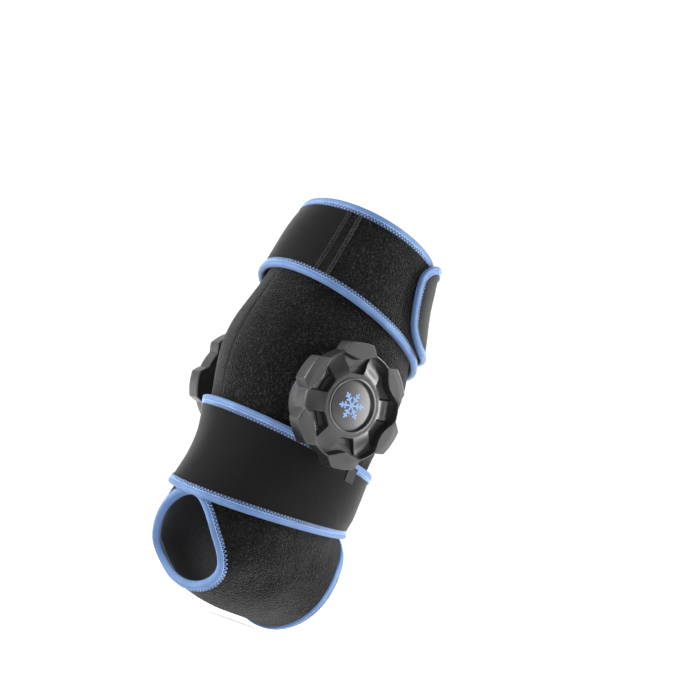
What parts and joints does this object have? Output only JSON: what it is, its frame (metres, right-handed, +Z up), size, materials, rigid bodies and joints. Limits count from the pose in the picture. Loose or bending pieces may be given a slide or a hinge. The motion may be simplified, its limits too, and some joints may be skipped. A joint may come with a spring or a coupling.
{
  "type": "cold compression wrap",
  "caption": "Ankle and calf cold compression wrap of dark neoprene with blue edge bindings, hook-and-loop strap ends and lobed screw caps on inner ice bags",
  "frame": {"origin": "point close to the sole on the line the shank comes down", "axes": "+Z up the shank, +X towards the toes, +Y to the far (inner) side of the foot, so the cap with the plain side view faces -Y"},
  "size_m": [0.142, 0.1594, 0.2652],
  "materials": {
    "loop_fabric": "matte loop pile",
    "smooth_neoprene": "smooth knit",
    "blue_binding": "woven tape",
    "hook_patch": "hook pile",
    "lining": "thin knit",
    "label": "woven",
    "cap_plastic": "satin",
    "badge": "satin",
    "closure_plastic": "satin",
    "seal_rubber": "matte",
    "bag_film": "soft film"
  },
  "bodies": {
    "wrap": {"near_body_panel": "loop_fabric", "far_body_panel": "loop_fabric", "calf_strap_loop": "loop_fabric", "calf_strap_smooth": "smooth_neoprene", "ankle_strap": "smooth_neoprene", "toe_binding": "blue_binding", "heel_binding": "blue_binding", "front_edge_bindings": "blue_binding", "calf_strap_top_binding": "blue_binding", "calf_strap_low_binding": "blue_binding", "ankle_strap_top_binding": "blue_binding", "ankle_strap_low_binding": "blue_binding", "rear_seam_tape": "lining", "near_pocket_liner": "lining", "far_pocket_liner": "lining", "size_label": "label", "near_neck": "closure_plastic", "far_neck": "closure_plastic", "near_lock_ring": "closure_plastic", "far_lock_ring": "closure_plastic", "near_ice_bag": "bag_film", "far_ice_bag": "bag_film"},
    "near_seal_disc": {"near_seal": "seal_rubber"},
    "near_cap": {"near_cap": "cap_plastic", "near_cap_badge": "badge"},
    "far_seal_disc": {"far_seal": "seal_rubber"},
    "far_cap": {"far_cap": "cap_plastic", "far_cap_badge": "badge"},
    "calf_strap_end": {"calf_strap_end": "smooth_neoprene", "calf_strap_end_binding": "blue_binding", "calf_strap_end_hook_patch": "hook_patch"},
    "ankle_strap_end": {"ankle_strap_end": "smooth_neoprene", "ankle_strap_end_binding": "blue_binding", "ankle_strap_end_hook_patch": "hook_patch"}
  },
  "joints": [
    {"name": "near_cap_rise", "type": "slide", "parent": "wrap", "child": "near_seal_disc", "axis": [-0.2588, -0.9659, 0], "range_m": [0, 0.0121]},
    {"name": "near_cap_turn", "type": "hinge", "parent": "near_seal_disc", "child": "near_cap", "pos_m": [-0.03153, -0.05796, 0.138], "axis": [-0.2588, -0.9659, 0], "range_deg": [0, 720]},
    {"name": "far_cap_rise", "type": "slide", "parent": "wrap", "child": "far_seal_disc", "axis": [0.2588, 0.9659, 0], "range_m": [0, 0.0121]},
    {"name": "far_cap_turn", "type": "hinge", "parent": "far_seal_disc", "child": "far_cap", "pos_m": [0.00753, 0.05796, 0.138], "axis": [0.2588, 0.9659, 0], "range_deg": [0, 720]},
    {"name": "calf_strap_peel", "type": "hinge", "parent": "wrap", "child": "calf_strap_end", "pos_m": [0.0487, 0.0228, 0.2135], "axis": [-0.2991, 0.1589, 0.9409], "range_deg": [0, 75]},
    {"name": "ankle_strap_peel", "type": "hinge", "parent": "wrap", "child": "ankle_strap_end", "pos_m": [0.0604, -0.0027, 0.086], "axis": [0, 0, -1], "range_deg": [0, 70]}
  ],
  "couplings": [
    {"joint": "near_cap_rise", "follows": "near_cap_turn", "m_per_rad": 0.00095493},
    {"joint": "far_cap_rise", "follows": "far_cap_turn", "m_per_rad": 0.00095493}
  ]
}
